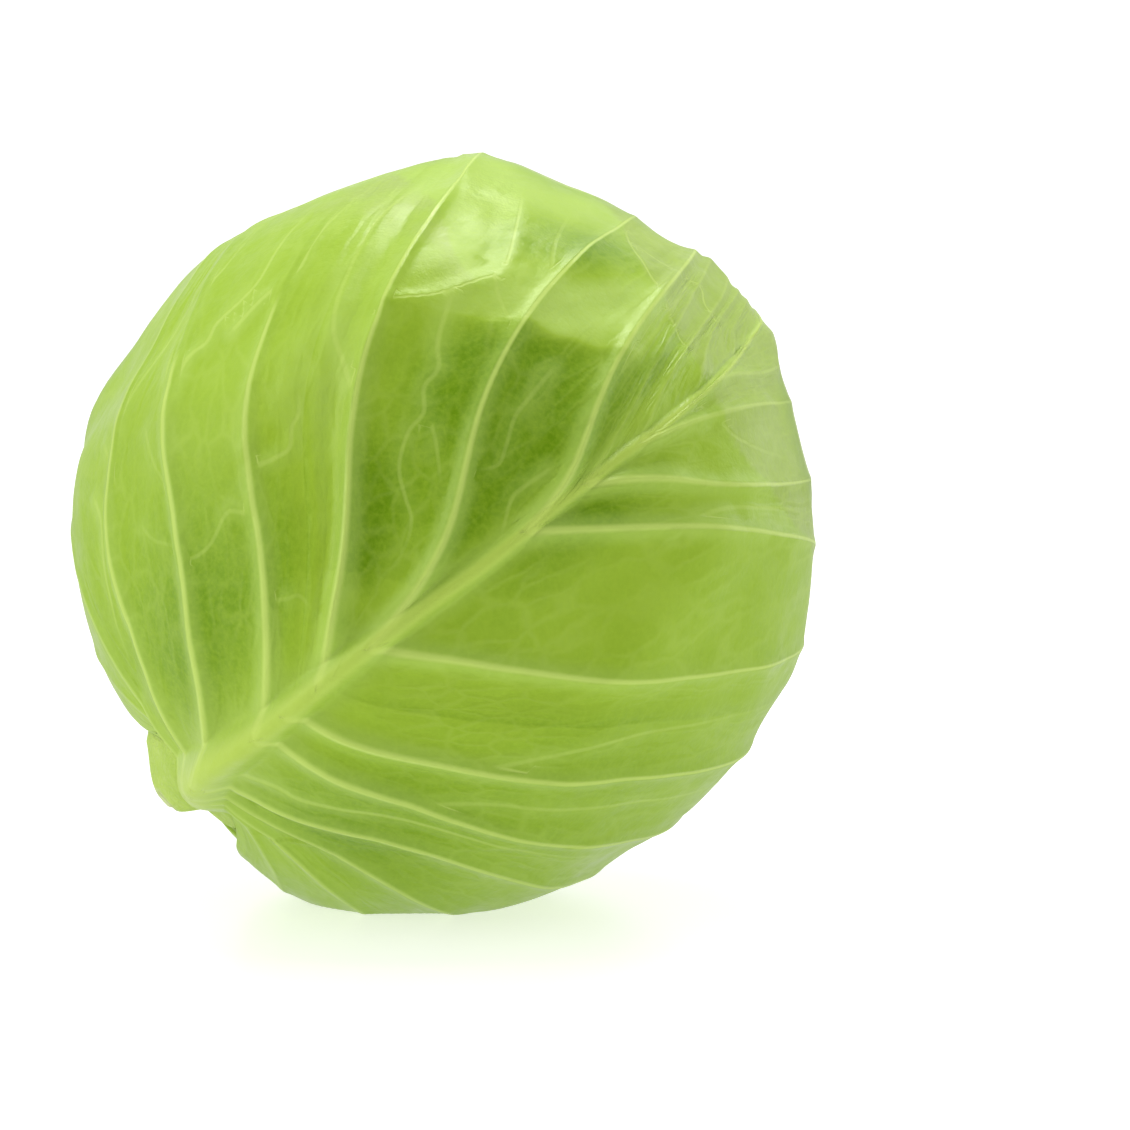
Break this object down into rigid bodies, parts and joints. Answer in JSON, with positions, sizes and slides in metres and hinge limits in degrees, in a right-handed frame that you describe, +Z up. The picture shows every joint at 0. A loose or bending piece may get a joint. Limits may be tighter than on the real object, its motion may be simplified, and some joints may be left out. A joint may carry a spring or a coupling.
{
  "type": "cabbage head",
  "caption": "Round, tight-leaved green cabbage head lying on its side, with wrapper leaves that close over a packed heart and a short cut stem.",
  "frame": {"origin": "middle of the flat spot that the head lies on", "axes": "+Z up, away from the surface; the cut stem points towards -X and down, a little towards -Y, and the crown of the head points towards +X and up"},
  "size_m": [0.1791, 0.1791, 0.1785],
  "materials": {
    "outer_leaf": "waxy, lightly glossy green leaf with pale veins",
    "inner_leaf": "waxy, paler green leaf",
    "heart": "satin, pale yellow-green packed leaves",
    "stem": "matt, pale cut stem"
  },
  "bodies": {
    "root": {"wrapper_leaf_1": "outer_leaf", "wrapper_leaf_2": "outer_leaf", "wrapper_leaf_3": "outer_leaf", "wrapper_leaf_4": "inner_leaf", "wrapper_leaf_5": "inner_leaf", "heart": "heart", "stem": "stem"}
  },
  "joints": []
}
